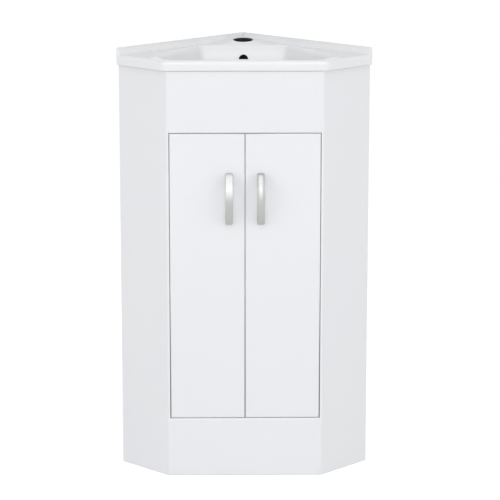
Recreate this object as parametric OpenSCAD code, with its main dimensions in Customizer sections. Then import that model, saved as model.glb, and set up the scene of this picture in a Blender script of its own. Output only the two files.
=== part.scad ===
// Corner vanity unit: a five-sided cupboard that stands in the corner of a room, with a
// ceramic corner basin on top and two inset doors on sprung cup hinges.
// The room corner is at the back. The two walls leave it at 45 degrees to each side, the
// return panels stand square to the walls, and the front faces -Y.
// Lengths are in millimetres, and +Z is up.

/* [Cabinet] */
// Length of the cabinet along each wall, from the room corner to the return panel
wall_side = 350; // [340:1:370]
// Depth of each return panel, square to its wall
return_depth = 134; // [128:1:140]
// Height of the cabinet from the floor to the underside of the basin
cabinet_h = 816; // [790:1:860]
// Thickness of the gloss boards: returns, fascia and plinth
gloss_board = 18; // [17:0.5:19]
// Thickness of the melamine boards: wall panels, base and shelf
inner_board = 16; // [15:0.5:18]
// Width of the flat land at the front edge of each return panel
nose_land = 4; // [3.5:0.5:6]
// Radius of the outer front edge of each return panel
nose_r = 5; // [3:0.5:6]
// Height of the plinth panel
plinth_h = 119; // [100:1:140]
// Height of the fascia panel above the doors
fascia_h = 122; // [116:1:140]
// Radius along the edges of the doors, the plinth and the fascia
front_edge_r = 3; // [2:0.5:3.5]

/* [Service openings] */
// Distance from the room corner to the pipe cut-out in each wall panel
cutout_start = 45; // [40:1:60]
// Width of each pipe cut-out
cutout_w = 120; // [100:1:130]
// Height of the pipe cut-out's lower edge above the floor
cutout_z = 430; // [400:1:450]
// Height of each pipe cut-out
cutout_h = 200; // [150:1:210]
// Radius of the hole for the wall screw in each wall panel
wall_hole_r = 3; // [2.5:0.25:4]
// Distance from the room corner to the wall screw's hole
wall_hole_u = 250; // [230:1:270]
// Distance from the top of the cabinet down to the wall screw's hole
wall_hole_from_top = 136; // [126:1:156]
// Width and depth of the batten in the room corner
batten_w = 20; // [18:0.5:21]

/* [Shelf] */
// Height of the underside of the shelf above the floor
shelf_z = 330; // [300:1:380]
// Distance from the back of the doors to the front edge of the shelf
shelf_setback = 62; // [50:1:80]
// Gap round the sides of the shelf
shelf_gap = 1; // [0.5:0.25:1.5]
// Length cut from each side of the shelf at the room corner, which lets pipes pass
shelf_corner = 100; // [80:1:130]
// Radius of a shelf pin
shelf_pin_r = 2.5; // [2:0.25:3]

/* [Doors] */
// Thickness of each door
door_t = 16; // [16:0.5:17]
// Gap between each door and its return panel
side_gap = 2; // [1.5:0.25:3]
// Gap between the two doors
middle_gap = 3; // [2:0.25:4]
// Gap above and below the doors
level_gap = 3; // [2:0.25:4]
// Distance from the end of a door to the middle of its hinge
hinge_from_end = 75; // [60:1:100]
// Radius of a door buffer
buffer_r = 5; // [4:0.5:6]
// Height of the lower and upper door stops
stop_h = 18; // [16:1:22]

/* [Handles] */
// Distance between the two screws of a handle
handle_centres = 96; // [90:1:100]
// Length of a handle beyond each screw
handle_end = 4; // [3.5:0.25:5]
// Width of a handle
handle_w = 15; // [12:0.5:18]
// Distance that a handle stands out from its door
handle_out = 26; // [24:0.5:32]
// Thickness of a handle in the middle of its bow
handle_t = 4.5; // [3.5:0.25:6]
// Distance from the top of a door to the middle of its handle
handle_from_top = 126; // [100:1:150]
// Distance from the free edge of a door to the middle of its handle
handle_inset = 29.5; // [25:0.5:35]
// Radius of a handle screw
handle_screw_r = 2; // [1.75:0.25:2.25]

/* [Hinges] */
// Radius of a hinge cup
cup_r = 17.5; // [17:0.25:17.5]
// Depth of a hinge cup in its door
cup_depth = 11.5; // [11:0.25:12]
// Distance from the door's edge to the middle of a hinge cup
cup_e = 22; // [21.5:0.25:23]
// Distance from the door's edge to the hinge pin
pin_e = 14; // [13.5:0.25:14.5]
// Distance from the door's front face to the hinge pin
pin_d = 8; // [7.75:0.25:8.25]
// Radius of a hinge pin
pin_r = 1.25; // [1:0.05:1.3]
// Thickness of a hinge arm's strap
strap_t = 2.2; // [1.8:0.1:2.4]
// Width of a hinge arm's strap
strap_w = 12; // [10:0.5:13]
// Distance from the front of the return's inner face to the hinge plate's screws
plate_from_edge = 37; // [36:0.5:40]

/* [Basin] */
// Distance that the basin stands out over the return panels
side_overhang = 8; // [6:0.5:9]
// Distance that the basin stands out over the front
front_overhang = 5; // [4:0.5:7]
// Height of the basin's rim
rim_h = 20; // [19:0.5:24]
// Height of the upstand along the walls, above the rim
upstand_h = 14; // [10:0.5:16]
// Thickness of the deck of the basin
deck_t = 12; // [11:0.5:13]
// Width of the skirt that stands on the cabinet
skirt_w = 20; // [19:0.5:22]
// Depth of the bowl below the deck
bowl_depth = 106; // [98:1:110]
// Thickness of the bowl's wall
bowl_wall = 9; // [8:0.5:10]
// Clearance between the bowl's back corners and the notches cut for them in the wall panels
bowl_gap = 2; // [1:0.5:4]
// Height of these notches, from the top of the wall panels
bowl_notch_h = 40; // [36:1:60]
// Distance from the room corner to the back edge of the bowl's opening
bowl_back = 101; // [99:1:104]
// Half the length of the back edge of the bowl's opening
bowl_back_half = 93; // [86:1:94]
// Width of the rim in front of the bowl
front_land = 7; // [7:0.5:10]
// Width of the rim beside the bowl's front corners
return_land = 11; // [10:0.5:14]
// Distance from the side of the basin to the widest place of the bowl's opening
side_land = 40; // [38:1:44]
// Distance from the wall to the widest place of the bowl's opening
wall_land = 59; // [56:1:66]
// Distance from the room corner to the middle of the tap hole
tap_from_corner = 54; // [52:1:58]
// Radius of the tap hole
tap_hole_r = 17.5; // [16:0.25:18]
// Distance from the room corner to the middle of the waste outlet
waste_from_corner = 228; // [222:1:234]
// Radius of the waste outlet
waste_r = 22.5; // [21:0.25:23]
// Width of the overflow slot
overflow_w = 19; // [16:0.5:22]
// Height of the overflow slot
overflow_h = 11; // [9:0.5:12]

/* [Hidden] */

root2 = sqrt(2);
fit = 0.05;            // clearance round a piece that is pressed into its hole
touch = 0.3;           // clearance between a buffer and its stop
cut = 1;               // length by which a cutting shape runs past the face that it cuts
round_fn = 48;         // facets on a round face, which are true arcs in the exact model

// The plan. u runs along the left wall from the room corner, and v runs square to that wall.
front_depth = (wall_side + return_depth) / root2;     // room corner to the front face
corner_y = (front_depth + handle_out) / 2;            // puts the origin under the middle
front_y = corner_y - front_depth;
inner_u = wall_side - gloss_board;                    // inner face of the return panel
front_w = (wall_side - return_depth) * root2;         // front face between the sharp edges
nose_depth = gloss_board * root2 - nose_land;         // depth of the nose beside a door
opening_half = front_w / 2 - nose_land;               // half the width between the noses
wing = 22.5;                                          // half the turn of a front corner

// The heights.
door_z = plinth_h + level_gap;
door_top = cabinet_h - fascia_h - level_gap;
door_h = door_top - door_z;
base_z = plinth_h - inner_board;
door_w = opening_half - side_gap - middle_gap / 2;
door_edge = opening_half - side_gap;
hinge_zs = [door_z + hinge_from_end, door_top - hinge_from_end];
handle_z = door_top - handle_from_top;

// The hinge, in a frame that is square to the return panel: n leaves its inner face, and s
// runs back along it. Both are measured from the front corner of the door's hinge edge.
face_n = (nose_depth - side_gap) / root2;
face_s = (nose_depth + side_gap) / root2;
pin_n = (pin_e + pin_d) / root2;
pin_s = (pin_d - pin_e) / root2;
cup_wall = 0.8;
cup_in_r = cup_r - cup_wall;
flange_t = 1.2;
flange_lap = 2;                     // width of the flange beyond the cup
flange_e = cup_e + 4;               // middle of the flange's bar
flange_bar = [16, 60];
cup_screw_z = 24;
eye_r = 2.3;
run_n = pin_n + 20;                 // the strap passes over the swing of the door's edge
leg_lean = 20;                      // lean of the strap's leg, so that it clears the cup
leg_s = pin_s - 20 * tan(leg_lean);
crank_s = pin_s + 20;
plate_s = face_s + plate_from_edge;
plate_t = 2;
rail_h = 7;
rail_w = 10;
plate_len = 40;
plate_wing = [14, 48];
arm_w = 16;
arm_wall = 1.5;
arm_len = 48;
arm_web_n = face_n + plate_t + rail_h;
arm_start = plate_s - 22;
plate_screw_z = 16;
adjust_s = [-10, 12];               // places of the two adjusting screws along the arm

// Screws.
screw_r = 1.9;
screw_len = 12;
screw_head_r = 3.6;
screw_head_t = 2;
cup_screw_r = 1.7;
cup_screw_len = 10;

// Cam fittings between the boards.
cam_r = 7.4;
cam_depth = 12.5;
cam_reach = 24;
cam_bolt_r = 3;
cam_anchor = 11;
cam_from_end = 50;
cam_wall_zs = [cam_from_end, shelf_z + cam_from_end, cabinet_h - cam_from_end];

// Handle arcs, in the plane of the bow.
handle_half = handle_centres / 2 + handle_end;
handle_shoulder = 8;                // straight part of each end
bow_rise = handle_out - handle_shoulder;
bow_r = (handle_half ^ 2 + bow_rise ^ 2) / (2 * bow_rise);
grip_half = handle_half - 9;
grip_rise = handle_out - handle_t;
grip_r = (grip_half ^ 2 + grip_rise ^ 2) / (2 * grip_rise);
handle_e = door_w - handle_inset;
handle_hole_depth = 7;
handle_corner_r = 3;

buffer_t = gloss_board - door_t - touch;
buffer_from_end = 8;
stop_half = 28;
stop_depth = 14;

// Basin levels and outlines.
deck_z = cabinet_h + rim_h;
basin_side = wall_side + side_overhang;
basin_front = (front_depth + front_overhang) * root2;  // u + v along the front edge
basin_return = basin_front - basin_side;
rim_edge_r = 7;
upstand_w = 12;
upstand_top = 6;
bowl_floor_z = deck_z - bowl_depth;
// Corners of the bowl's opening at the deck, from the room corner: x, then -depth.
bowl_front = front_depth + front_overhang - front_land;
bowl_front_half = (basin_side - return_land) * root2 - bowl_front;
bowl_side = (basin_side - side_land + wall_land) / root2;
bowl_side_half = (basin_side - side_land - wall_land) / root2;
bowl_corners = [
    [bowl_back_half, -bowl_back], [-bowl_back_half, -bowl_back],
    [-bowl_side_half, -bowl_side], [-bowl_front_half, -bowl_front],
    [bowl_front_half, -bowl_front], [bowl_side_half, -bowl_side]
];
bowl_radii = [16, 16, 16, 40, 40, 16];
arc_steps = 6;
side_steps = 4;
bowl_centre = [0, -waste_from_corner];
lip_w = 8;                          // width of the bowl's lip
lip_h = 14;                         // height of the bowl's lip
front_slope = 20;                   // how much wider the lip is in the middle of the front
bowl_draw = 0.38;                   // how much smaller the floor is than the opening
bowl_round = 0.35;                  // how much nearer to a circle the floor's outline is
bowl_draft = 0.4;                   // how much of the wall's lean is even, and not at its foot
wall_top = deck_z - lip_h;
waste_recess_r = 32;
waste_boss_r = 32;
floor_fall = 4;
overflow_z = deck_z - 23;
channel_w = 28;                     // the overflow's chamber, which runs down the bowl's back
channel_t = 12;
channel_wall = 6;
chamber_front = bowl_back + 4;
duct_w = 16;                        // the duct that leads from the chamber to the outlet
duct_h = 10;
duct_z = bowl_floor_z - bowl_wall - duct_h - 2;
boss_z = duct_z - channel_wall;

gloss_white = "#f2f3f5";
board_white = "#f0f0ee";
china_white = "#f6f7f7";
chrome_grey = "#c9cbcc";
steel_grey = "#b4b6b8";
clear_grey = "#dfe3e4";
zinc_grey = "#a9abad";
pine = "#d9bd8b";

// ---------------------------------------------------------------- places

module in_corner() { translate([0, corner_y, 0]) children(); }
// x is u and y is v
module left_wall_frame() { in_corner() rotate([0, 0, 225]) children(); }
module mirrored() { mirror([1, 0, 0]) children(); }
module both_sides() {
    children();
    mirrored() children();
}
// x is e, from the hinge edge of the left door, and y is d, from its front face
module left_door_frame() { translate([-door_edge, front_y, 0]) children(); }
// x is n and y is s
module left_hinge_frame() { left_door_frame() rotate([0, 0, 45]) children(); }
module at_hinges() { for (z = hinge_zs) translate([0, 0, z]) children(); }

// ---------------------------------------------------------------- shapes

// Outward normals of the edge from a to b, for corners that run anticlockwise
function normal(a, b) = let (d = b - a) [d.y, -d.x] / norm(d);
function turn(a, b) = let (t = atan2(b.y, b.x) - atan2(a.y, a.x)) t < 0 ? t + 360 : t;

// A ring of points round corners, each rounded by its radius, drawn in by inset, at height z.
// Each side between two rounds is cut into equal steps.
function ring(corners, radii, inset, z, steps = 1) =
    let (
        n = len(corners),
        rounds = [for (i = [0 : n - 1])
            let (
                n1 = normal(corners[(i + n - 1) % n], corners[i]),
                n2 = normal(corners[i], corners[(i + 1) % n]),
                r = max(radii[i] - inset, 2),
                centre = corners[i] - (inset + r) * (n1 + n2) / (1 + n1 * n2),
                a1 = atan2(n1.y, n1.x)
            )
            [for (j = [0 : arc_steps])
                let (a = a1 + turn(n1, n2) * j / arc_steps)
                [centre.x + r * cos(a), centre.y + r * sin(a), z]]
        ]
    )
    [for (i = [0 : n - 1])
        let (from = rounds[i][arc_steps], to = rounds[(i + 1) % n][0])
        each concat(rounds[i], [for (k = [1 : 1 : steps - 1]) from + (to - from) * k / steps])
    ];

// The bowl's outline at angle a of its lip, from 0 at the deck to 90 at the wall, moved out
// by wall. The lip grows wider towards the front.
function lip_ring(a, wall = 0) = [
    for (p = ring(bowl_corners, bowl_radii, lip_w * sin(a) - wall, 0, side_steps))
        let (ahead = max(0, -p.y - waste_from_corner) / (bowl_front - waste_from_corner))
        [p.x, p.y + front_slope * sin(a) * ahead ^ 2, deck_z - lip_h * (1 - cos(a))]
];
// The bowl's outline at t of the way from its opening to its floor: it shrinks about the
// waste outlet and grows rounder
function from_centre(p) = [p.x, p.y] - bowl_centre;
function mean_r(points) =
    [for (p = points) norm(from_centre(p))] * [for (p = points) 1] / len(points);
function bowl_ring(points, t, z) =
    let (mean = mean_r(points), w = bowl_round * t)
    [for (p = points)
        let (
            d = from_centre(p),
            r = (1 - bowl_draw * t) * (norm(d) * (1 - w) + mean * w),
            q = bowl_centre + r * d / norm(d)
        )
        [q.x, q.y, z]
    ];
function round_ring(points, r, z) = [for (p = points)
    let (q = bowl_centre + r * from_centre(p) / norm(from_centre(p))) [q.x, q.y, z]];
// Depth below the lip, and t, at angle a of the bowl's profile
function bowl_drop(a) = sin(a) ^ 0.8;
function bowl_t(a) = bowl_draft * bowl_drop(a) + (1 - bowl_draft) * (1 - cos(a) ^ 0.8);

// A solid through rings that have the same number of points, from the lowest to the highest
module loft(rings) {
    n = len(rings[0]);
    polyhedron(
        points = [for (r = rings) each r],
        faces = concat(
            [[for (i = [n - 1 : -1 : 0]) n - 1 - i]],
            [for (k = [0 : len(rings) - 2], i = [0 : n - 1])
                let (a = k * n + i, b = k * n + (i + 1) % n)
                each [[a, a + n, b], [b, a + n, b + n]]],
            [[for (i = [n - 1 : -1 : 0]) (len(rings) - 1) * n + i]]
        )
    );
}

// Outline of a strap of thickness t that follows a path, with mitred bends
function strap_side(path, t, side) = [
    for (i = [0 : len(path) - 1])
        let (
            n1 = normal(path[max(i - 1, 0)], path[max(i, 1)]),
            n2 = normal(path[min(i, len(path) - 2)], path[min(i + 1, len(path) - 1)])
        )
        path[i] + side * t / 2 * (n1 + n2) / (1 + n1 * n2)
];
module strap_outline(path, t) {
    back = strap_side(path, t, -1);
    polygon(concat(
        strap_side(path, t, 1),
        [for (i = [len(back) - 1 : -1 : 0]) back[i]]
    ));
}

// Section of a board of width w and thickness t, with its two front corners rounded by r
module board_section(w, t, r) {
    translate([0, r]) square([w, t - r]);
    translate([r, 0]) square([w - 2 * r, r + cut]);
    for (x = [r, w - r]) translate([x, r]) circle(r, $fn = round_fn);
}

// A board that stands on z = 0 with its front at y = 0, rounded along its front edges
module rounded_board(w, h, t, r) {
    intersection() {
        linear_extrude(h) board_section(w, t, r);
        rotate([90, 0, 90]) linear_extrude(w) rotate([0, 0, 90]) mirror([0, 1, 0])
            board_section(h, t, r);
    }
}

// A screw along -Z, with the underside of its flat head at z = 0
module screw(r, length, head_r, head_t) {
    translate([0, 0, -length]) cylinder(r = r, h = length + head_t / 2, $fn = round_fn);
    difference() {
        cylinder(r = head_r, h = head_t, $fn = round_fn);
        for (a = [0, 90]) rotate([0, 0, a])
            translate([-head_r / 2, -0.4, head_t / 2]) cube([head_r, 0.8, head_t]);
    }
}

// ---------------------------------------------------------------- cam fittings

// Each fitting stands at a joint, with x along the bolt and into the board that holds the
// cam. The cam's pocket opens towards +Z.
module at_wall_cams() {
    for (z = cam_wall_zs)
        translate([inner_u, inner_board / 2, z]) rotate([0, 0, 180]) rotate([90, 0, 0])
            children();
}
module at_base_cams() {
    translate([inner_u, return_depth / 2, base_z + inner_board / 2]) rotate([0, 0, 180])
        rotate([180, 0, 0]) children();
    translate([wall_side / 2, inner_board, base_z + inner_board / 2]) rotate([0, 0, 90])
        rotate([180, 0, 0]) children();
}
module cam_pocket() {
    translate([cam_reach, 0, inner_board / 2 - cam_depth])
        cylinder(r = cam_r + fit, h = cam_depth + cut, $fn = round_fn);
    rotate([0, 90, 0]) translate([0, 0, -cut])
        cylinder(r = cam_bolt_r + 2 * fit, h = cam_reach + cut, $fn = round_fn);
}
module cam_anchor_hole() {
    rotate([0, -90, 0]) translate([0, 0, -cut])
        cylinder(r = cam_bolt_r + fit, h = cam_anchor + cut + fit, $fn = round_fn);
}
module cam_lock() {
    difference() {
        translate([cam_reach, 0, inner_board / 2 - cam_depth + fit])
            cylinder(r = cam_r, h = cam_depth - fit, $fn = round_fn);
        rotate([0, 90, 0]) cylinder(r = cam_bolt_r + 2 * fit, h = cam_reach + 3, $fn = round_fn);
        for (a = [0, 90]) translate([cam_reach, 0, inner_board / 2]) rotate([0, 0, a])
            translate([-4, -0.6, -1.5]) cube([8, 1.2, 1.5 + cut]);
    }
}
module cam_bolt() {
    rotate([0, 90, 0]) translate([0, 0, -cam_anchor])
        cylinder(r = cam_bolt_r, h = cam_anchor + cam_reach + 2, $fn = round_fn);
}

// ---------------------------------------------------------------- boards

// The batten's screws stand at different heights in the two walls, so that they don't meet.
batten_from_end = 75;
batten_zs = [plinth_h + batten_from_end, cabinet_h / 2, door_top];
batten_shift = 25;
batten_screw_len = 31;
batten_top = door_top + 50;
module at_batten_screws(shift) {
    for (z = batten_zs)
        translate([inner_board + batten_w / 2, inner_board + batten_w, z + shift])
        rotate([-90, 0, 0]) children();
}
module batten_screw_holes(shift) {
    at_batten_screws(shift) translate([0, 0, -batten_screw_len - fit])
        cylinder(r = screw_r + fit, h = batten_screw_len + fit + cut, $fn = round_fn);
}
module corner_batten() {
    color(pine) left_wall_frame() difference() {
        translate([inner_board, inner_board, plinth_h])
            cube([batten_w, batten_w, batten_top - plinth_h]);
        batten_screw_holes(0);
        swapped() batten_screw_holes(batten_shift);
    }
}
module batten_screws() {
    color(steel_grey) left_wall_frame() {
        at_batten_screws(0) screw(screw_r, batten_screw_len, screw_head_r, screw_head_t);
        swapped() at_batten_screws(batten_shift)
            screw(screw_r, batten_screw_len, screw_head_r, screw_head_t);
    }
}

// Plan of the left return panel: a nose at its front, cut back square beside the door
module return_section() {
    tangent = nose_r * tan(wing);
    nose_tip = nose_land / root2;
    difference() {
        polygon([
            [inner_u, 0], [wall_side, 0], [wall_side, return_depth],
            [wall_side - nose_tip, return_depth + nose_tip],
            [inner_u, return_depth + nose_land * root2 - gloss_board]
        ]);
        difference() {
            polygon([
                [wall_side, return_depth - tangent], [wall_side + cut, return_depth + cut],
                [wall_side - tangent / root2, return_depth + tangent / root2]
            ]);
            translate([wall_side - nose_r, return_depth - tangent])
                circle(nose_r, $fn = round_fn);
        }
    }
}

module return_panel() {
    color(gloss_white) difference() {
        left_wall_frame() difference() {
            linear_extrude(cabinet_h) return_section();
            at_wall_cams() cam_anchor_hole();
            at_base_cams() cam_anchor_hole();
            translate([inner_u, return_pin_v, shelf_z]) rotate([0, 90, 0])
                translate([0, 0, -cut])
                cylinder(r = shelf_pin_r + fit, h = shelf_pin_in + cut, $fn = round_fn);
        }
        left_hinge_frame() at_hinges() for (z = [-1, 1] * plate_screw_z)
            translate([face_n, plate_s, z]) rotate([0, -90, 0]) translate([0, 0, -cut])
                cylinder(r = screw_r + fit, h = screw_len + cut, $fn = round_fn);
        left_hinge_frame() for (z = bracket_zs)
            translate([face_n, face_s + bracket_leg * 0.6, z + bracket_h / 2])
                rotate([0, -90, 0]) translate([0, 0, -cut])
                cylinder(r = screw_r + fit, h = screw_len + cut, $fn = round_fn);
    }
}

// The wall panels meet at the room corner on a mitre. Their inner faces are notched at the
// top, where the bowl's back corners come close to the walls.
module wall_panel(batten_shift) {
    color(board_white) difference() {
        left_wall_frame() difference() {
            linear_extrude(cabinet_h) polygon([
                [0, 0], [inner_u, 0], [inner_u, inner_board], [inner_board, inner_board]
            ]);
            translate([cutout_start, -cut, cutout_z])
                cube([cutout_w, inner_board + 2 * cut, cutout_h]);
            translate([wall_hole_u, -cut, cabinet_h - wall_hole_from_top])
                rotate([-90, 0, 0])
                cylinder(r = wall_hole_r, h = inner_board + 2 * cut, $fn = round_fn);
            at_wall_cams() cam_pocket();
            at_base_cams() cam_anchor_hole();
            batten_screw_holes(batten_shift);
            translate([wall_pin_u, inner_board, shelf_z]) rotate([90, 0, 0])
                translate([0, 0, -cut])
                cylinder(r = shelf_pin_r + fit, h = shelf_pin_in + cut, $fn = round_fn);
        }
        in_corner() bowl_notches();
    }
}

// Plan of a board between the panels, gap inside them, with its front edge at depth d and
// its back corner cut off by corner along each side
module floor_section(d, gap, corner) {
    front_sum = (front_depth - d) * root2;
    nose_v = return_depth + nose_land * root2 - gloss_board;
    side = inner_u - gap;
    back = inner_board + gap;
    left_half = [
        [back + corner, back],
        [side, back],
        if (front_sum - side > nose_v) each [
            [side, nose_v],
            [side + (front_sum - side - nose_v) / 2, nose_v + (front_sum - side - nose_v) / 2]
        ] else [side, front_sum - side]
    ];
    polygon(concat(left_half, [
        for (i = [len(left_half) - 1 : -1 : corner > 0 ? 0 : 1])
            [left_half[i].y, left_half[i].x]
    ]));
}

module base_panel() {
    color(board_white) left_wall_frame() difference() {
        translate([0, 0, base_z]) linear_extrude(inner_board) floor_section(gloss_board, 0, 0);
        at_base_cams() cam_pocket();
        swapped() at_base_cams() cam_pocket();
    }
}
// The other half of the plan, seen from the left wall's frame
module swapped() { mirror([1, -1, 0]) children(); }

module shelf() {
    color(board_white) left_wall_frame()
        translate([0, 0, shelf_z + shelf_pin_r]) linear_extrude(inner_board)
        floor_section(gloss_board + shelf_setback, shelf_gap, shelf_corner);
}

module plinth_panel() {
    color(gloss_white) front_panel(0, plinth_h, bracket_zs[0]);
}
module fascia_panel() {
    color(gloss_white) front_panel(door_top + level_gap, fascia_h, bracket_zs[1]);
}
// A fixed front board between the noses, with holes at its back for the brackets' screws
module front_panel(z, h, bracket_z) {
    difference() {
        translate([-opening_half, front_y, z])
            rotate([90, 0, 90]) linear_extrude(2 * opening_half)
            rotate([0, 0, 90]) mirror([0, 1, 0])
            board_section(h, gloss_board, front_edge_r);
        both_sides() left_door_frame()
            translate([bracket_leg * 0.6, gloss_board, bracket_z + bracket_h / 2])
            rotate([90, 0, 0]) translate([0, 0, -cut])
            cylinder(r = screw_r + fit, h = screw_len + cut, $fn = round_fn);
    }
}

// Plain round shelf pins, half in the board and half under the shelf
shelf_pin_in = 9;
shelf_pin_out = 9;
wall_pin_u = 200;
return_pin_v = 30;
module shelf_pin() {
    translate([0, 0, -shelf_pin_in + fit])
        cylinder(r = shelf_pin_r, h = shelf_pin_in + shelf_pin_out, $fn = round_fn);
}
module shelf_pins() {
    color(steel_grey) both_sides() left_wall_frame() {
        translate([wall_pin_u, inner_board, shelf_z]) rotate([-90, 0, 0]) shelf_pin();
        translate([inner_u, return_pin_v, shelf_z]) rotate([0, -90, 0]) shelf_pin();
    }
}

module lower_door_stop() {
    color(board_white) translate([-stop_half, front_y + gloss_board, plinth_h])
        cube([2 * stop_half, stop_depth, stop_h]);
}
module upper_door_stop() {
    color(board_white)
        translate([-stop_half, front_y + gloss_board, door_top + level_gap - stop_h])
        cube([2 * stop_half, stop_depth / 2, 2 * stop_h]);
}

// ---------------------------------------------------------------- brackets

bracket_t = 2.5;
bracket_h = 20;
bracket_leg = 24;
bracket_zs = [40, door_top + level_gap + 24];

// An angle bracket bent to 135 degrees, from the back of a front board to a return panel
module angle_bracket() {
    inner_n = face_n + bracket_t;
    leg_n = face_n + bracket_t / 2;
    leg_s = face_s + bracket_t;
    linear_extrude(bracket_h) union() {
        translate([-side_gap, gloss_board]) square([bracket_leg + side_gap, bracket_t]);
        rotate([0, 0, 45]) translate([face_n, face_s]) square([bracket_t, bracket_leg]);
        polygon([
            [-side_gap, gloss_board], [-side_gap, nose_depth],
            [(leg_n - leg_s) / root2, (leg_n + leg_s) / root2],
            [(inner_n - face_s) / root2, (inner_n + face_s) / root2],
            [bracket_leg / 3, gloss_board + bracket_t], [bracket_leg / 3, gloss_board]
        ]);
    }
}
module angle_brackets() {
    color(steel_grey) both_sides() left_door_frame() for (z = bracket_zs) difference() {
        translate([0, 0, z]) angle_bracket();
        at_bracket_screws(z)
            translate([0, 0, -bracket_t - cut])
            cylinder(r = screw_r + fit, h = bracket_t + 2 * cut, $fn = round_fn);
    }
}
// The screws' heads bear on the bracket's two legs.
module at_bracket_screws(z) {
    translate([bracket_leg * 0.6, gloss_board + bracket_t, z + bracket_h / 2])
        rotate([-90, 0, 0]) children();
    rotate([0, 0, 45])
        translate([face_n + bracket_t, face_s + bracket_leg * 0.6, z + bracket_h / 2])
        rotate([0, 90, 0]) children();
}
module bracket_screws() {
    color(steel_grey) both_sides() left_door_frame() for (z = bracket_zs)
        at_bracket_screws(z) screw(screw_r, screw_len, screw_head_r, screw_head_t);
}

module cam_locks() {
    color(zinc_grey) both_sides() left_wall_frame() {
        at_wall_cams() cam_lock();
        at_base_cams() cam_lock();
    }
}
module cam_bolts() {
    color(steel_grey) both_sides() left_wall_frame() {
        at_wall_cams() cam_bolt();
        at_base_cams() cam_bolt();
    }
}

// ---------------------------------------------------------------- hinges

module hinge_plate(z) {
    color(steel_grey) left_hinge_frame() translate([face_n, plate_s, z]) difference() {
        union() {
            translate([0, -plate_len / 2, -rail_w / 2 - 2])
                cube([plate_t, plate_len, rail_w + 4]);
            translate([0, -plate_wing.x / 2, -plate_wing.y / 2])
                cube([plate_t, plate_wing.x, plate_wing.y]);
            translate([0, -plate_len / 2, -rail_w / 2])
                cube([plate_t + rail_h, plate_len, rail_w]);
        }
        for (side = [-1, 1]) translate([-cut, 0, side * plate_screw_z]) rotate([0, 90, 0])
            cylinder(r = screw_r + fit, h = plate_t + 2 * cut, $fn = round_fn);
        for (s = adjust_s) translate([plate_t, s, 0]) rotate([0, 90, 0])
            cylinder(r = screw_r + fit, h = rail_h + cut, $fn = round_fn);
    }
}

// The arm is a channel over the plate's rail. A cranked strap runs from it, over the swing
// of the door's edge and down into the cup, where its eye turns on the pin.
module hinge_arm(z) {
    web = arm_web_n + arm_wall / 2;
    path = [
        [pin_n, pin_s], [run_n, leg_s], [run_n, crank_s], [web, arm_start],
        [web, arm_start + arm_wall]
    ];
    color(steel_grey) left_hinge_frame() translate([0, 0, z]) difference() {
        union() {
            translate([0, 0, -strap_w / 2]) linear_extrude(strap_w)
                strap_outline(path, strap_t);
            translate([pin_n, pin_s, -strap_w / 2])
                cylinder(r = eye_r, h = strap_w, $fn = round_fn);
            translate([arm_web_n, arm_start, -arm_w / 2])
                cube([arm_wall, arm_len, arm_w]);
            for (side = [-arm_w / 2, arm_w / 2 - arm_wall])
                translate([face_n + plate_t + fit, arm_start, side])
                cube([rail_h + arm_wall - fit, arm_len, arm_wall]);
        }
        translate([pin_n, pin_s, -strap_w / 2 - cut])
            cylinder(r = pin_r + fit, h = strap_w + 2 * cut, $fn = round_fn);
        for (s = adjust_s) translate([arm_web_n - cut, plate_s + s, 0]) rotate([0, 90, 0])
            cylinder(r = screw_r + fit, h = arm_wall + 2 * cut, $fn = round_fn);
    }
}

module hinge_plate_screws() {
    color(steel_grey) both_sides() left_hinge_frame() at_hinges()
        for (side = [-1, 1])
            translate([face_n + plate_t, plate_s, side * plate_screw_z])
            rotate([0, 90, 0]) screw(screw_r, screw_len, screw_head_r, screw_head_t);
}
module hinge_adjusting_screws() {
    color(steel_grey) both_sides() left_hinge_frame() at_hinges() for (s = adjust_s)
        translate([arm_web_n + arm_wall, plate_s + s, 0]) rotate([0, 90, 0])
        screw(screw_r, rail_h, screw_head_r, screw_head_t);
}

// The cup and its flange, with holes for the pin and for two screws
module hinge_cup(z) {
    color(steel_grey) left_door_frame() translate([0, door_t, z]) rotate([90, 0, 0])
        difference() {
            union() {
                translate([cup_e, 0, 0])
                    cylinder(r = cup_r - fit, h = cup_depth, $fn = round_fn);
                translate([cup_e, 0, -flange_t])
                    cylinder(r = cup_r + flange_lap, h = flange_t, $fn = round_fn);
                translate([flange_e - flange_bar.x / 2, -flange_bar.y / 2, -flange_t])
                    cube([flange_bar.x, flange_bar.y, flange_t]);
            }
            translate([cup_e, 0, -flange_t - cut])
                cylinder(r = cup_in_r, h = cup_depth + flange_t + cut - cup_wall,
                    $fn = round_fn);
            translate([pin_e, -cup_r, door_t - pin_d]) rotate([-90, 0, 0])
                cylinder(r = pin_r + fit, h = 2 * cup_r, $fn = round_fn);
            for (side = [-1, 1]) translate([flange_e, side * cup_screw_z, -flange_t - cut])
                cylinder(r = cup_screw_r + fit, h = flange_t + 2 * cut, $fn = round_fn);
        }
}
module hinge_pins() {
    half = sqrt((cup_r - 2 * fit) ^ 2 - (cup_e - pin_e + pin_r) ^ 2);
    color(steel_grey) left_door_frame() at_hinges() translate([pin_e, pin_d, -half])
        cylinder(r = pin_r, h = 2 * half, $fn = round_fn);
}
module cup_screws() {
    color(steel_grey) left_door_frame() at_hinges() for (side = [-1, 1])
        translate([flange_e, door_t + flange_t, side * cup_screw_z]) rotate([-90, 0, 0])
        screw(cup_screw_r, cup_screw_len, screw_head_r, screw_head_t);
}

// ---------------------------------------------------------------- doors

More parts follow.
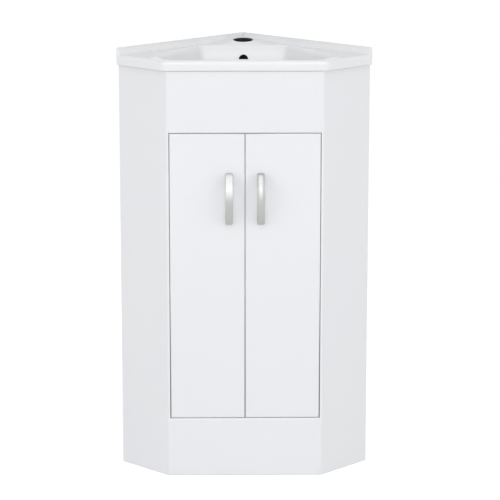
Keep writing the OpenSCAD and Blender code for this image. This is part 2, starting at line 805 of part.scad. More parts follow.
module door() {
    color(gloss_white) left_door_frame() difference() {
        translate([0, 0, door_z]) rounded_board(door_w, door_h, door_t, front_edge_r);
        at_hinges() translate([cup_e, door_t + cut, 0]) rotate([90, 0, 0])
            cylinder(r = cup_r, h = cup_depth + cut + fit, $fn = round_fn);
        at_hinges() for (side = [-1, 1])
            translate([flange_e, door_t + cut, side * cup_screw_z]) rotate([90, 0, 0])
            cylinder(r = cup_screw_r + fit, h = cup_screw_len + cut, $fn = round_fn);
        at_handle_screws() translate([0, -cut, 0]) rotate([-90, 0, 0])
            cylinder(r = handle_screw_r + fit, h = door_t + 2 * cut, $fn = round_fn);
    }
}
module at_handle_screws() {
    for (side = [-1, 1])
        translate([handle_e, 0, handle_z + side * handle_centres / 2]) children();
}

// A bow handle: thick legs and a thin curved grip, with rounded ends
module handle() {
    color(chrome_grey) left_door_frame() difference() {
        intersection() {
            translate([handle_e - handle_w / 2, 0, handle_z]) rotate([90, 0, 90])
                linear_extrude(handle_w) bow_section();
            translate([handle_e, cut, handle_z]) rotate([90, 0, 0])
                linear_extrude(handle_out + 2 * cut) bow_face();
        }
        at_handle_screws() translate([0, cut, 0]) rotate([90, 0, 0])
            cylinder(r = handle_screw_r + fit, h = handle_hole_depth + cut, $fn = round_fn);
    }
}
// The bow seen from the side: x is depth behind the door's front, and y is height
module bow_section() {
    difference() {
        intersection() {
            translate([-handle_out - cut, -handle_half])
                square([handle_out + cut, 2 * handle_half]);
            translate([bow_r - handle_out, 0]) circle(bow_r, $fn = 4 * round_fn);
        }
        translate([grip_r - handle_out + handle_t, 0]) circle(grip_r, $fn = 4 * round_fn);
    }
}
// The bow seen from the front
module bow_face() {
    r = handle_corner_r;
    x = handle_w / 2 - r;
    y = handle_half - r;
    square([2 * x, 2 * handle_half], center = true);
    square([handle_w, 2 * y], center = true);
    for (i = [-1, 1], j = [-1, 1]) translate([i * x, j * y]) circle(r, $fn = round_fn);
}
module handle_screws() {
    color(steel_grey) left_door_frame() at_handle_screws() translate([0, door_t, 0])
        rotate([-90, 0, 0])
        screw(handle_screw_r, door_t + handle_hole_depth - 1, screw_head_r, screw_head_t);
}
module door_buffers() {
    color(clear_grey) left_door_frame()
        for (z = [door_z + buffer_from_end, door_top - buffer_from_end])
            translate([door_w - 12, door_t, z]) rotate([-90, 0, 0])
            cylinder(r = buffer_r, h = buffer_t, $fn = round_fn);
}

// ---------------------------------------------------------------- basin

rim_corners = [
    [0, 0], [basin_side, 0], [basin_side, basin_return],
    [basin_return, basin_side], [0, basin_side]
];
rim_radii = [3, 4, 14, 14, 4];

// The rim's plan, with a small round at its foot and a larger one at its top
module rim_block() {
    foot = 1;
    loft([
        ring(rim_corners, rim_radii, foot, cabinet_h),
        ring(rim_corners, rim_radii, 0, cabinet_h + foot),
        for (a = [0, 30, 60, 90])
            ring(rim_corners, rim_radii, rim_edge_r * (1 - cos(a)),
                deck_z - rim_edge_r + rim_edge_r * sin(a))
    ]);
}
// The raised ledge that keeps water off the walls
module upstand() {
    intersection() {
        union() {
            upstand_side();
            swapped() upstand_side();
        }
        loft([
            ring(rim_corners, rim_radii, 0, cabinet_h + cut),
            ring(rim_corners, rim_radii, 0, deck_z + upstand_h)
        ]);
    }
}
module upstand_side() {
    lip = 1.5;
    translate([basin_side, 0, deck_z]) rotate([90, 0, -90]) linear_extrude(basin_side)
        mirror([1, 0]) polygon([
            [0, -rim_edge_r - 2], [0, upstand_h - lip], [lip, upstand_h],
            [upstand_top - lip, upstand_h],
            for (a = [0 : 15 : 75])
                [upstand_w - (upstand_w - upstand_top) * cos(a),
                    (upstand_h - lip) * (1 - sin(a))],
            [upstand_w + 2, 0], [upstand_w + 2, -rim_edge_r - 2]
        ]);
}
module skirt_recess() {
    translate([0, 0, cabinet_h - cut]) linear_extrude(rim_h - deck_t + cut)
        polygon([for (p = ring(rim_corners, rim_radii, skirt_w, 0)) [p.x, p.y]]);
}

module bowl_hollow() {
    edge = lip_ring(90);
    loft([
        round_ring(edge, waste_recess_r, bowl_floor_z - floor_fall),
        for (a = [90 : -10 : 0])
            bowl_ring(edge, bowl_t(a), wall_top - (wall_top - bowl_floor_z) * bowl_drop(a)),
        for (a = [72 : -18 : 0]) lip_ring(a),
        ring(bowl_corners, bowl_radii, -1, deck_z + cut, side_steps)
    ]);
}
// The outside of the bowl, up into the deck
module bowl_body() {
    edge = lip_ring(90, bowl_wall);
    foot = bowl_floor_z - bowl_wall;
    loft([
        for (a = [90 : -15 : 0])
            bowl_ring(edge, bowl_t(a), wall_top - (wall_top - foot) * bowl_drop(a)),
        bowl_ring(edge, 0, deck_z - deck_t + cut)
    ]);
}
// Room for the top of the bowl in the wall panels
module bowl_notches() {
    edge = lip_ring(90, bowl_wall + bowl_gap);
    translate([0, 0, cabinet_h - bowl_notch_h]) linear_extrude(bowl_notch_h + cut)
        polygon([for (p = edge) [p.x, p.y]]);
}
// The chamber behind the bowl and the duct under its floor lead the overflow to the waste
// outlet. This is their casing, and overflow_hollow is the way through them.
module overflow_casing() {
    back = chamber_front - channel_t - channel_wall;
    front = bowl_back + lip_w + 2 * channel_wall;
    translate([-channel_w / 2 - channel_wall, -front, boss_z])
        cube([channel_w + 2 * channel_wall, front - back, deck_z - deck_t + cut - boss_z]);
    translate([-duct_w / 2 - channel_wall, -waste_from_corner, boss_z])
        cube([duct_w + 2 * channel_wall, waste_from_corner - back, duct_h + 2 * channel_wall]);
}
module overflow_hollow() {
    translate([-channel_w / 2, -chamber_front, duct_z])
        cube([channel_w, channel_t, overflow_z + overflow_h - duct_z]);
    translate([-duct_w / 2, -waste_from_corner, duct_z])
        cube([duct_w, waste_from_corner - chamber_front + channel_t, duct_h]);
}
module overflow_slot() {
    depth = lip_w + 2 * bowl_wall;
    translate([0, -bowl_back - depth, overflow_z - overflow_h / 2]) rotate([-90, 0, 0])
        linear_extrude(depth + channel_t / 2) intersection() {
            circle(r = overflow_w / 2, $fn = round_fn);
            translate([-overflow_w / 2, -overflow_h]) square([overflow_w, overflow_h]);
        }
}
module tap_hole() {
    lip = 3;
    translate([0, -tap_from_corner, cabinet_h])
        cylinder(r = tap_hole_r, h = rim_h + cut, $fn = round_fn);
    translate([0, -tap_from_corner, deck_z]) rotate_extrude($fn = round_fn) difference() {
        translate([tap_hole_r - cut, -lip]) square([lip + cut, lip + cut]);
        translate([tap_hole_r + lip, -lip]) circle(lip, $fn = round_fn);
    }
}
module waste_outlet() {
    translate([0, -waste_from_corner, boss_z - cut])
        cylinder(r = waste_r, h = bowl_floor_z - boss_z + cut, $fn = round_fn);
}

module basin() {
    color(china_white) in_corner() difference() {
        union() {
            rotate([0, 0, 225]) {
                difference() {
                    rim_block();
                    skirt_recess();
                }
                upstand();
            }
            bowl_body();
            overflow_casing();
            translate([0, -waste_from_corner, boss_z])
                cylinder(r = waste_boss_r, h = bowl_floor_z - boss_z, $fn = round_fn);
        }
        bowl_hollow();
        tap_hole();
        waste_outlet();
        overflow_slot();
        overflow_hollow();
    }
}

// ---------------------------------------------------------------- nodes

return_panel();  // left_return_panel
mirrored() return_panel();  // right_return_panel
wall_panel(0);  // left_wall_panel
mirrored() wall_panel(batten_shift);  // right_wall_panel
base_panel();
shelf();
plinth_panel();
fascia_panel();
basin();
corner_batten();
batten_screws();
lower_door_stop();
upper_door_stop();
shelf_pins();
angle_brackets();
bracket_screws();
cam_locks();
cam_bolts();
hinge_plate(hinge_zs[1]);  // left_upper_hinge_plate
hinge_plate(hinge_zs[0]);  // left_lower_hinge_plate
mirrored() hinge_plate(hinge_zs[1]);  // right_upper_hinge_plate
mirrored() hinge_plate(hinge_zs[0]);  // right_lower_hinge_plate
hinge_arm(hinge_zs[1]);  // left_upper_hinge_arm
hinge_arm(hinge_zs[0]);  // left_lower_hinge_arm
mirrored() hinge_arm(hinge_zs[1]);  // right_upper_hinge_arm
mirrored() hinge_arm(hinge_zs[0]);  // right_lower_hinge_arm
hinge_plate_screws();
hinge_adjusting_screws();
door();  // left_door
handle();  // left_handle
handle_screws();  // left_handle_screws
hinge_cup(hinge_zs[1]);  // left_upper_hinge_cup
hinge_cup(hinge_zs[0]);  // left_lower_hinge_cup
hinge_pins();  // left_hinge_pins
cup_screws();  // left_cup_screws
door_buffers();  // left_door_buffers
mirrored() door();  // right_door
mirrored() handle();  // right_handle
mirrored() handle_screws();  // right_handle_screws
mirrored() hinge_cup(hinge_zs[1]);  // right_upper_hinge_cup
mirrored() hinge_cup(hinge_zs[0]);  // right_lower_hinge_cup
mirrored() hinge_pins();  // right_hinge_pins
mirrored() cup_screws();  // right_cup_screws
mirrored() door_buffers();  // right_door_buffers
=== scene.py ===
# %% [markdown]
# # A corner vanity unit
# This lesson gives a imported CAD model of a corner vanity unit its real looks. The cupboard
# stands in the corner of a room, so it has five sides: two plain panels against the walls,
# two gloss returns beside the doors, and a front with a fascia, two doors and a plinth. A
# ceramic corner basin lies on top. The frame holds every part at its real size. Parts whose
# shape is right get a better finish, and the pieces that need softer forms are modelled here.

# %% Load the frame
import math

import bmesh
import bpy
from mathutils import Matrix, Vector


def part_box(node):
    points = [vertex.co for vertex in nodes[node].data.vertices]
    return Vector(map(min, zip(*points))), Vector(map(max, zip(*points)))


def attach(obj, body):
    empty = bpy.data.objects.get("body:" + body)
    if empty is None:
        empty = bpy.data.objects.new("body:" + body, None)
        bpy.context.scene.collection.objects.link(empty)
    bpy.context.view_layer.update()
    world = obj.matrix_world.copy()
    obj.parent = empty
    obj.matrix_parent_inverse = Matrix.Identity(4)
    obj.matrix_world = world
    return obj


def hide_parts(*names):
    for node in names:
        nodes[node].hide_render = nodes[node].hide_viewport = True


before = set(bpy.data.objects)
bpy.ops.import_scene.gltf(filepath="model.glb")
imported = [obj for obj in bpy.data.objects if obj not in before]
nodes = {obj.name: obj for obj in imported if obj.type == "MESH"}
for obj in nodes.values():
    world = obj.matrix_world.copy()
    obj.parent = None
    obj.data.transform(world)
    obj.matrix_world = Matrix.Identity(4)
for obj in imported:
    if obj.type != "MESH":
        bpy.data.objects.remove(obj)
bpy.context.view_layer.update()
mm = 0.001

# %% [markdown]
# The camera comes first, because all else is judged through it. The photograph was taken from
# far off with a long lens, a little above the basin, so the uprights hardly lean. A pinhole
# camera was fitted to the measured corners of the object, and this is what it gave.

# %% The camera
bpy.ops.object.select_all(action="DESELECT")
bpy.ops.object.camera_add(location=(-0.06, -4.5, 1.4151),
                          rotation=(math.radians(77.624), 0, math.radians(-0.79)))
camera = bpy.context.object
camera.data.lens = 163.18
camera.data.sensor_width = 36
camera.data.shift_x = 0.01
bpy.context.scene.camera = camera
print("camera:", tuple(camera.location), "lens:", camera.data.lens)

# %% [markdown]
# The light of a product photograph comes from large soft lamps in a white room: one around
# the camera, one at each side, and here also a strip high up, because the handles in the
# photograph fade from white at their top to grey, so something bright hung above. The room's
# own light comes from every side and is set by the world. What the camera sees behind the
# object is pure white, and so is what gloss and metal mirror, but the world sheds less than
# that on the object, so that white boards keep their shading.

# %% Lamps and world
scene = bpy.context.scene
scene.view_settings.view_transform = "Standard"


def soft_lamp(name, place, aim, width, height, power):
    """A rectangular lamp at a place, turned to what it lights."""
    turn = (Vector(aim) - Vector(place)).to_track_quat("-Z", "Y").to_euler()
    bpy.ops.object.light_add(type="AREA", location=place, rotation=turn)
    lamp = bpy.context.object
    lamp.name = name
    lamp.data.shape = "RECTANGLE"
    lamp.data.size, lamp.data.size_y = width, height
    lamp.data.energy = power
    print(name, "gives", power, "W from", width * height, "square metres")


soft_lamp("front_softbox", (0, -4.2, 1.4), (0, 0, 0.5), 1.6, 2.2, 15)
soft_lamp("high_strip", (0, -2.4, 2.6), (0, 0, 0.565), 1.2, 2.8, 16.5)
soft_lamp("left_softbox", (-3.4, -2.4, 1.6), (0, 0, 0.5), 2.0, 2.4, 26.5)
soft_lamp("right_softbox", (3.4, -2.4, 1.6), (0, 0, 0.5), 2.0, 2.4, 26.5)

room_light, room_white = 0.635, 1.0
world = bpy.data.worlds.new("white_room")
scene.world = world
world.use_nodes = True


def add(tree, kind, inputs=None, **settings):
    """Adds a node, gives it its settings, and sets or links its inputs by name."""
    node = tree.nodes.new(kind)
    for name, value in settings.items():
        setattr(node, name, value)
    for name, value in (inputs or {}).items():
        if isinstance(value, bpy.types.NodeSocket):
            tree.links.new(value, node.inputs[name])
        else:
            node.inputs[name].default_value = value
    return node


def seen_rays(tree):
    """1 for the rays from the camera, and for those that gloss, metal and glass send on."""
    rays = add(tree, "ShaderNodeLightPath")
    direct = add(tree, "ShaderNodeMath", {0: rays.outputs["Is Camera Ray"],
                                          1: rays.outputs["Is Glossy Ray"]}, operation="MAXIMUM")
    return add(tree, "ShaderNodeMath", {0: direct.outputs[0],
                                        1: rays.outputs["Is Transmission Ray"]},
               operation="MAXIMUM").outputs[0]


tree = world.node_tree
tree.nodes.clear()
light = add(tree, "ShaderNodeBackground", {"Color": (1, 1, 1, 1), "Strength": room_light})
backdrop = add(tree, "ShaderNodeBackground", {"Color": (1, 1, 1, 1), "Strength": room_white})
mixed = add(tree, "ShaderNodeMixShader", {0: seen_rays(tree), 1: light.outputs[0],
                                          2: backdrop.outputs[0]})
add(tree, "ShaderNodeOutputWorld", {"Surface": mixed.outputs[0]})

# %% [markdown]
# Materials come from what each part is made of. Their colours are written as the sRGB hex
# values that a paint chart or a photograph gives, and one function turns them into the linear
# values that a shader works with. Patterns read Object coordinates in metres, so that a
# pattern of so many millimetres keeps its real size. Most surfaces need the same few steps: a
# noise, a ramp of colours, a spread of roughness and a relief.

# %% Colour and material helpers
def linear(code):
    """The linear colour of an sRGB hex value."""
    parts = [int(code[i:i + 2], 16) / 255 for i in (1, 3, 5)]
    return [c / 12.92 if c <= 0.04045 else ((c + 0.055) / 1.055) ** 2.4 for c in parts] + [1]


def start_material(name, **values):
    """A material with its main shader, whose fixed values are given, and its coordinates."""
    material = bpy.data.materials.new(name)
    material.use_nodes = True
    tree = material.node_tree
    tree.nodes.clear()
    shader = add(tree, "ShaderNodeBsdfPrincipled",
                 {key.replace("_", " "): value for key, value in values.items()})
    add(tree, "ShaderNodeOutputMaterial", {"Surface": shader.outputs[0]})
    place = add(tree, "ShaderNodeTexCoord").outputs["Object"]
    return material, tree, shader, place


def blend_colours(tree, factor, *codes):
    """A colour ramp whose colours are spread evenly."""
    ramp = add(tree, "ShaderNodeValToRGB", {"Fac": factor})
    stops = ramp.color_ramp.elements
    while len(stops) < len(codes):
        stops.new(0.5)
    for i, code in enumerate(codes):
        stops[i].position = i / (len(codes) - 1)
        stops[i].color = linear(code)
    return ramp.outputs["Color"]


def noise(tree, place, size, detail):
    """A cloudy pattern of values from 0 to 1, whose waves have a size in metres."""
    return add(tree, "ShaderNodeTexNoise", {"Vector": place, "Scale": 1 / size,
                                            "Detail": detail}).outputs["Fac"]


def spread(tree, value, low, high):
    """A value from 0 to 1, spread from a low to a high value."""
    return add(tree, "ShaderNodeMapRange", {"Value": value, "To Min": low,
                                            "To Max": high}).outputs[0]


def relief(tree, height, strength, distance, **settings):
    """Bumps that follow a pattern and are a distance high."""
    return add(tree, "ShaderNodeBump", {"Height": height, "Strength": strength,
                                        "Distance": distance}, **settings).outputs[0]


def connect(tree, shader, **outputs):
    """Links each output to the main shader's socket of its name."""
    for name, output in outputs.items():
        tree.links.new(output, shader.inputs[name.replace("_", " ")])


# %% [markdown]
# The returns, the fascia, the plinth and the doors are fibreboard with a white gloss foil,
# pressed over the rounded edges. The foil is not quite flat: it carries a faint ripple, a few
# millimetres from wave to wave and a few thousandths of a millimetre high, which the eye only
# catches in a reflection. The colour is a cool white.

# %% White gloss foil
gloss_foil, tree, shader, place = start_material("white_gloss_foil", Roughness=0.09, IOR=1.5)
ripple = noise(tree, place, 6 * mm, 2)
drift = noise(tree, place, 240 * mm, 1)
connect(tree, shader, Base_Color=blend_colours(tree, drift, "#e7e8ec", "#e9eaed"),
        Normal=relief(tree, ripple, 0.35, 0.02 * mm))

# %% [markdown]
# The inner boards are chipboard with a white melamine face. It was pressed against a textured
# plate, so it has a fine pearl grain of just under a millimetre and a soft sheen.

# %% White melamine
melamine, tree, shader, place = start_material("white_melamine", IOR=1.5)
pearl = noise(tree, place, 0.9 * mm, 2)
drift = noise(tree, place, 160 * mm, 2)
connect(tree, shader, Base_Color=blend_colours(tree, drift, "#e4e4e2", "#e9e9e7"),
        Roughness=spread(tree, pearl, 0.38, 0.5), Normal=relief(tree, pearl, 0.5, 0.05 * mm))

# %% [markdown]
# Where the maker cut a board and left the edge bare, the chipboard's core shows: flakes of
# wood of two to five millimetres in honey and brown, with dark pores between them.

# %% Bare chipboard
chipboard, tree, shader, place = start_material("bare_chipboard", Roughness=0.85, IOR=1.45)
flakes = add(tree, "ShaderNodeTexVoronoi", {"Vector": place, "Scale": 1 / (3.2 * mm)})
shade = add(tree, "ShaderNodeSeparateColor", {"Color": flakes.outputs["Color"]})
connect(tree, shader,
        Base_Color=blend_colours(tree, shade.outputs["Red"],
                                 "#9c7748", "#c9a571", "#dcc092", "#b58d58"),
        Normal=relief(tree, flakes.outputs["Distance"], 0.8, 0.4 * mm, invert=True))

# %% [markdown]
# The basin is vitreous china: fired clay under a white glaze that is clear, hard and very
# smooth. The glaze runs a little before it sets, so a reflection in it wavers over a few
# centimetres.

# %% China glaze
glaze, tree, shader, place = start_material("china_glaze", Roughness=0.06, IOR=1.52)
flow = noise(tree, place, 35 * mm, 1)
connect(tree, shader, Base_Color=blend_colours(tree, flow, "#e7e8ea", "#eaebec"),
        Normal=relief(tree, flow, 0.3, 0.25 * mm))

# %% [markdown]
# The foot that the basin stands on, its underside and the sides that face the walls get no
# glaze, because glaze would stick to the kiln shelf. Bare fired clay is a warm, chalky white.

# %% Bare fired clay
clay, tree, shader, place = start_material("bare_fired_clay", Roughness=0.8, IOR=1.5)
grog = noise(tree, place, 1.5 * mm, 4)
connect(tree, shader, Base_Color=blend_colours(tree, grog, "#d9d3c6", "#ebe7dd"),
        Normal=relief(tree, grog, 0.5, 0.1 * mm))

# %% [markdown]
# The handles are cast zinc with a brushed nickel plating. The brush runs along the bow and
# leaves fine scratches that stretch a highlight across them. Real scratches are a twentieth
# of a millimetre apart, too fine to show here, so they are drawn six times as coarse.

# %% Brushed nickel
nickel, tree, shader, place = start_material("brushed_nickel", Metallic=1.0)
brushed = add(tree, "ShaderNodeMapping", {"Vector": place, "Scale": (1, 1, 0.02)})
scratch = noise(tree, brushed.outputs[0], 0.3 * mm, 3)
connect(tree, shader, Base_Color=blend_colours(tree, scratch, "#a9a9a9", "#b9b9b8"),
        Roughness=spread(tree, scratch, 0.27, 0.38),
        Normal=relief(tree, scratch, 0.25, 0.02 * mm))

# %% [markdown]
# The hinges are pressed steel with a nickel plating. It is bright, but the pressing leaves a
# slight unevenness that shows as soft patches.

# %% Nickel-plated steel
plated, tree, shader, place = start_material("nickel_plated_steel", Metallic=1.0)
press = noise(tree, place, 7 * mm, 3)
connect(tree, shader, Base_Color=blend_colours(tree, press, "#bab7b0", "#cbc9c4"),
        Roughness=spread(tree, press, 0.2, 0.34))

# %% [markdown]
# Screws, bolts, pins and brackets are steel with a thin zinc plating. Zinc is a bluish grey
# and dulls in patches as it ages.

# %% Zinc-plated steel
zinc_steel, tree, shader, place = start_material("zinc_plated_steel", Metallic=1.0)
cloud = noise(tree, place, 4 * mm, 4)
connect(tree, shader, Base_Color=blend_colours(tree, cloud, "#a4a9ae", "#c2c7cb"),
        Roughness=spread(tree, cloud, 0.3, 0.5))

# %% [markdown]
# The cams are die-cast zinc, left as they come from the mould: dull grey with a fine grain.

# %% Die-cast zinc
cast_zinc, tree, shader, place = start_material("die_cast_zinc", Metallic=1.0)
grain = noise(tree, place, 0.8 * mm, 4)
connect(tree, shader, Base_Color=blend_colours(tree, grain, "#85888b", "#a0a3a5"),
        Roughness=spread(tree, grain, 0.42, 0.6), Normal=relief(tree, grain, 0.4, 0.05 * mm))

# %% [markdown]
# The batten in the room corner is softwood with one coat of white primer. The coat is thin,
# so the grain still shows as faint ridges and a little warmth. It is fast-grown wood, with
# rings some eight millimetres apart. They run along the batten, which stands upright, so the
# pattern is stretched along Z.

# %% Primed softwood
primed_wood, tree, shader, place = start_material("white_primed_softwood", Roughness=0.6,
                                                  IOR=1.45)
grain_place = add(tree, "ShaderNodeMapping", {"Vector": place, "Scale": (1, 1, 0.06)})
rings = add(tree, "ShaderNodeTexWave", {"Vector": grain_place.outputs[0],
                                        "Scale": 1 / (26 * mm), "Distortion": 5, "Detail": 3,
                                        "Detail Scale": 1.5}, bands_direction="X")
ridges = rings.outputs["Fac"]
connect(tree, shader, Base_Color=blend_colours(tree, ridges, "#f0eeea", "#ebe8e1", "#e2ddd2"),
        Normal=relief(tree, ridges, 0.3, 0.1 * mm))

# %% [markdown]
# The door buffers are small drops of clear polyurethane, slightly cloudy inside.

# %% Clear polyurethane
clear_drop, tree, shader, place = start_material(
    "clear_polyurethane", Roughness=0.18, IOR=1.5, Transmission_Weight=0.75)
haze = noise(tree, place, 2 * mm, 2)
connect(tree, shader, Base_Color=blend_colours(tree, haze, "#e3e7e8", "#f2f4f4"))

# %% [markdown]
# Inside the tap hole and the overflow it is nearly black, because little light gets in and
# less comes out. That shade is painted: a dark, dull colour with a trace of mottle, not a real
# lining.

# %% Painted shade in the holes
painted_hole_shade, tree, shader, place = start_material("painted_shade_black", Roughness=0.7, IOR=1.45)
mottle = noise(tree, place, 3 * mm, 2)
connect(tree, shader, Base_Color=blend_colours(tree, mottle, "#0f1011", "#1a1b1c"))

# %% [markdown]
# Each part of the frame now gets its finish.

# %% Dress the frame's parts
dressed = {
    gloss_foil: ["left_return_panel", "right_return_panel", "plinth_panel", "fascia_panel"],
    melamine: ["left_wall_panel", "right_wall_panel", "base_panel", "shelf",
               "lower_door_stop", "upper_door_stop"],
    primed_wood: ["corner_batten"],
    zinc_steel: ["batten_screws", "shelf_pins", "angle_brackets", "bracket_screws",
                 "cam_bolts", "hinge_plate_screws", "hinge_adjusting_screws",
                 "left_handle_screws", "right_handle_screws", "left_cup_screws",
                 "right_cup_screws"],
    cast_zinc: ["cam_locks"],
    plated: [name for name in nodes if "_hinge_plate" in name and "screws" not in name
             or "_hinge_arm" in name or "_hinge_cup" in name or "_hinge_pins" in name],
    clear_drop: ["left_door_buffers", "right_door_buffers"],
}
for material, names in dressed.items():
    for name in names:
        nodes[name].data.materials.clear()
        nodes[name].data.materials.append(material)
print("dressed:", sum(len(names) for names in dressed.values()), "of", len(nodes))

# %% [markdown]
# Where a board was sawn or bored after its faces were laid on, the core is bare. A visitor
# sees it at the pipe cut-outs in the back. A frame part can't be reshaped, but each of its
# faces can take another of its materials. The faces to change are the ones whose middle lies
# below the board's surface: a board is measured along its own thickness, its length and Z.

# %% The boards' bare edges
def bare_core(name, thickness_way, length_way, inset=1 * mm, ends=4 * mm):
    """Gives bare chipboard to the faces inside a board's cut-outs, notches and bores."""
    mesh = nodes[name].data
    mesh.materials.append(chipboard)
    ways = [Vector(way).normalized() for way in (thickness_way, length_way, (0, 0, 1))]
    spans = []
    for way in ways:
        reach = [way.dot(v.co) for v in mesh.vertices]
        spans.append((min(reach), max(reach)))
    count = 0
    for face in mesh.polygons:
        inside = [low + room < way.dot(face.center) < high - room
                  for way, (low, high), room in zip(ways, spans, (inset, ends, ends))]
        if all(inside):
            face.material_index = 1
            count += 1
    print(name, "bare faces:", count, "of", len(mesh.polygons))


for side, sign in (("left", -1), ("right", 1)):
    bare_core(side + "_wall_panel", (sign, 1, 0), (sign, -1, 0))

# %% [markdown]
# Shaping in edit mode needs a few small tools. One starts work on a shape that was just
# added. One selects faces, edges or vertices by a test on their place or direction. One leaves
# edit mode again. One cuts a solid with another or joins them, and throws the second away. The
# last measures an edge, for the tests.

# %% Tools for shaping
def edit_new():
    """Goes into edit mode on the shape that was just added, with its size in its mesh."""
    bpy.ops.object.transform_apply(location=True, rotation=True, scale=True)
    bpy.ops.object.mode_set(mode="EDIT")
    bpy.ops.mesh.select_all(action="SELECT")


def choose(kind, test):
    """Selects the vertices, edges or faces of the shape in edit mode that pass a test."""
    bpy.ops.mesh.select_mode(type=kind)
    bpy.ops.mesh.select_all(action="DESELECT")
    mesh = bmesh.from_edit_mesh(bpy.context.object.data)
    parts = {"VERT": mesh.verts, "EDGE": mesh.edges, "FACE": mesh.faces}[kind]
    chosen = [part for part in parts if test(part)]
    for part in chosen:
        part.select_set(True)
    mesh.select_flush_mode()
    bmesh.update_edit_mesh(bpy.context.object.data)
    return len(chosen)


def leave(name=None):
    """Leaves edit mode with the faces turned outwards, and returns the shape.

    Blender's own test turns a bow inside out, so the volume's sign decides.
    """
    bpy.ops.mesh.select_all(action="SELECT")
    bpy.ops.mesh.normals_make_consistent(inside=False)
    if bmesh.from_edit_mesh(bpy.context.object.data).calc_volume(signed=True) < 0:
        bpy.ops.mesh.flip_normals()
    bpy.ops.object.mode_set(mode="OBJECT")
    shape = bpy.context.object
    if name:
        shape.name = shape.data.name = name
    return shape


def carve(shape, tool, operation="DIFFERENCE"):
    """Cuts a tool out of a shape, or adds it, and removes the tool."""
    bpy.ops.object.select_all(action="DESELECT")
    bpy.context.view_layer.objects.active = shape
    shape.select_set(True)
    cut = shape.modifiers.new("cut", "BOOLEAN")
    cut.operation = operation
    cut.solver = "EXACT"
    cut.object = tool
    bpy.ops.object.modifier_apply(modifier=cut.name)
    bpy.data.objects.remove(tool)


def across(edge):
    """The middle of an edge, and its length along Z."""
    a, b = (v.co for v in edge.verts)
    return (a + b) / 2, abs(a.z - b.z)


# %% [markdown]
# The basin is the showpiece. It is one casting: a five-sided slab with a raised ledge along
# the two walls, a bowl that swells to the front, and a hollow underside. It could be sculpted
# from one mesh, but then the flat deck would be hard to keep flat. Here the parts that the
# mould has are made one by one, and joined or cut with boolean tools, so that the deck stays
# plane and the bowl stays smooth. First come the measures, all from the room corner.

# %% The basin's measures
corner_y = 184.12 * mm
side_length, front_depth = 358 * mm, 347.24 * mm
foot_z, deck_z, ledge_z = 816 * mm, 836 * mm, 850 * mm
ledge_width, ledge_top = 12 * mm, 6 * mm
waste_depth = 228 * mm
waste_y = corner_y - waste_depth
platform_y, platform_slope = corner_y - 102 * mm, 0.09
diagonal = math.sqrt(2)
hair = 0.01 * mm
print("the basin is", side_length, "along each wall; places count as one within", hair)

# %% [markdown]
# The slab starts as a square block on its corner, and one cut across it gives the front. Its
# edges are rounded, because glaze pulls away from a sharp edge. The front corners are rounder
# than the top edge, so they come before it. The wing tips and the room corner are sharper
# than it, so they come after it, when each is a chain of edges that runs up and over the
# rounded top. Behind the bowl the top rises a little to the room corner, so that drips from
# the tap run down into the bowl. A second such block, 20 mm smaller all round, hollows the
# underside.

# %% The slab
wing_x = side_length / diagonal
wing_y = corner_y - wing_x
front_y = corner_y - front_depth
front_round, top_round, foot_round = 14 * mm, 7 * mm, 1.5 * mm
tip_round, corner_round = 4 * mm, 3 * mm
recess_inset, recess_height, recess_round = 20 * mm, 8 * mm, 6 * mm


def corner_block(inset, low, high):
    """A five-sided block in plan, inset from the basin's sides, left in edit mode."""
    bpy.ops.object.select_all(action="DESELECT")
    side = side_length - 2 * inset
    bpy.ops.mesh.primitive_cube_add(
        size=1, location=(0, wing_y, (low + high) / 2),
        rotation=(0, 0, math.radians(45)), scale=(side, side, high - low))
    edit_new()
    bpy.ops.mesh.bisect(plane_co=(0, front_y + inset, 0),
                        plane_no=(0, -1, 0), use_fill=True, clear_outer=True)


def round_edges(radius, segments, test, turn=90):
    """Rounds the edges that pass a test, where the faces beside them turn by an angle."""
    choose("EDGE", test)
    bpy.ops.mesh.bevel(offset=radius * math.tan(math.radians(turn / 2)), segments=segments)


def upright(edge):
    """Tells whether an edge is one of the tall ones."""
    return across(edge)[1] > 10 * mm


def above(edge, z):
    """Tells whether an edge lies at a height or over it."""
    return min(v.co.z for v in edge.verts) > z - hair


def at_wing(v):
    """Tells whether a vertex is on the middle line of a wing tip."""
    return abs(v.co.y - wing_y) < hair and abs(v.co.x) > wing_x - 2 * top_round


def at_room_corner(v):
    """Tells whether a vertex is on the middle line of the room corner."""
    return abs(v.co.x) < hair and v.co.y > corner_y - 2 * top_round


corner_block(0, foot_z, deck_z)
round_edges(front_round, 12, lambda edge: upright(edge) and across(edge)[0].y < front_y + hair,
            45)
round_edges(top_round, 10, lambda edge: above(edge, deck_z))
round_edges(foot_round, 3, lambda edge: max(v.co.z for v in edge.verts) < foot_z + hair)
round_edges(tip_round, 8, lambda edge: all(map(at_wing, edge.verts)))
round_edges(corner_round, 8, lambda edge: all(map(at_room_corner, edge.verts)))
bpy.ops.mesh.select_all(action="SELECT")
bpy.ops.mesh.bisect(plane_co=(0, platform_y, 0), plane_no=(0, 1, 0))
choose("VERT", lambda v: v.co.y > platform_y + hair and v.co.z > deck_z - hair)
bpy.ops.transform.rotate(value=-math.atan(platform_slope), orient_axis="X",
                         center_override=(0, platform_y, deck_z))
top = max(v.co.z for v in bmesh.from_edit_mesh(bpy.context.object.data).verts)
print("the tap platform rises to", top)
basin = leave("corner_basin")
corner_block(recess_inset, foot_z - 5 * mm, foot_z + recess_height)
round_edges(recess_round, 6, upright, 80)
carve(basin, leave("recess"))
print("slab:", len(basin.data.polygons), "faces, size", list(basin.dimensions))

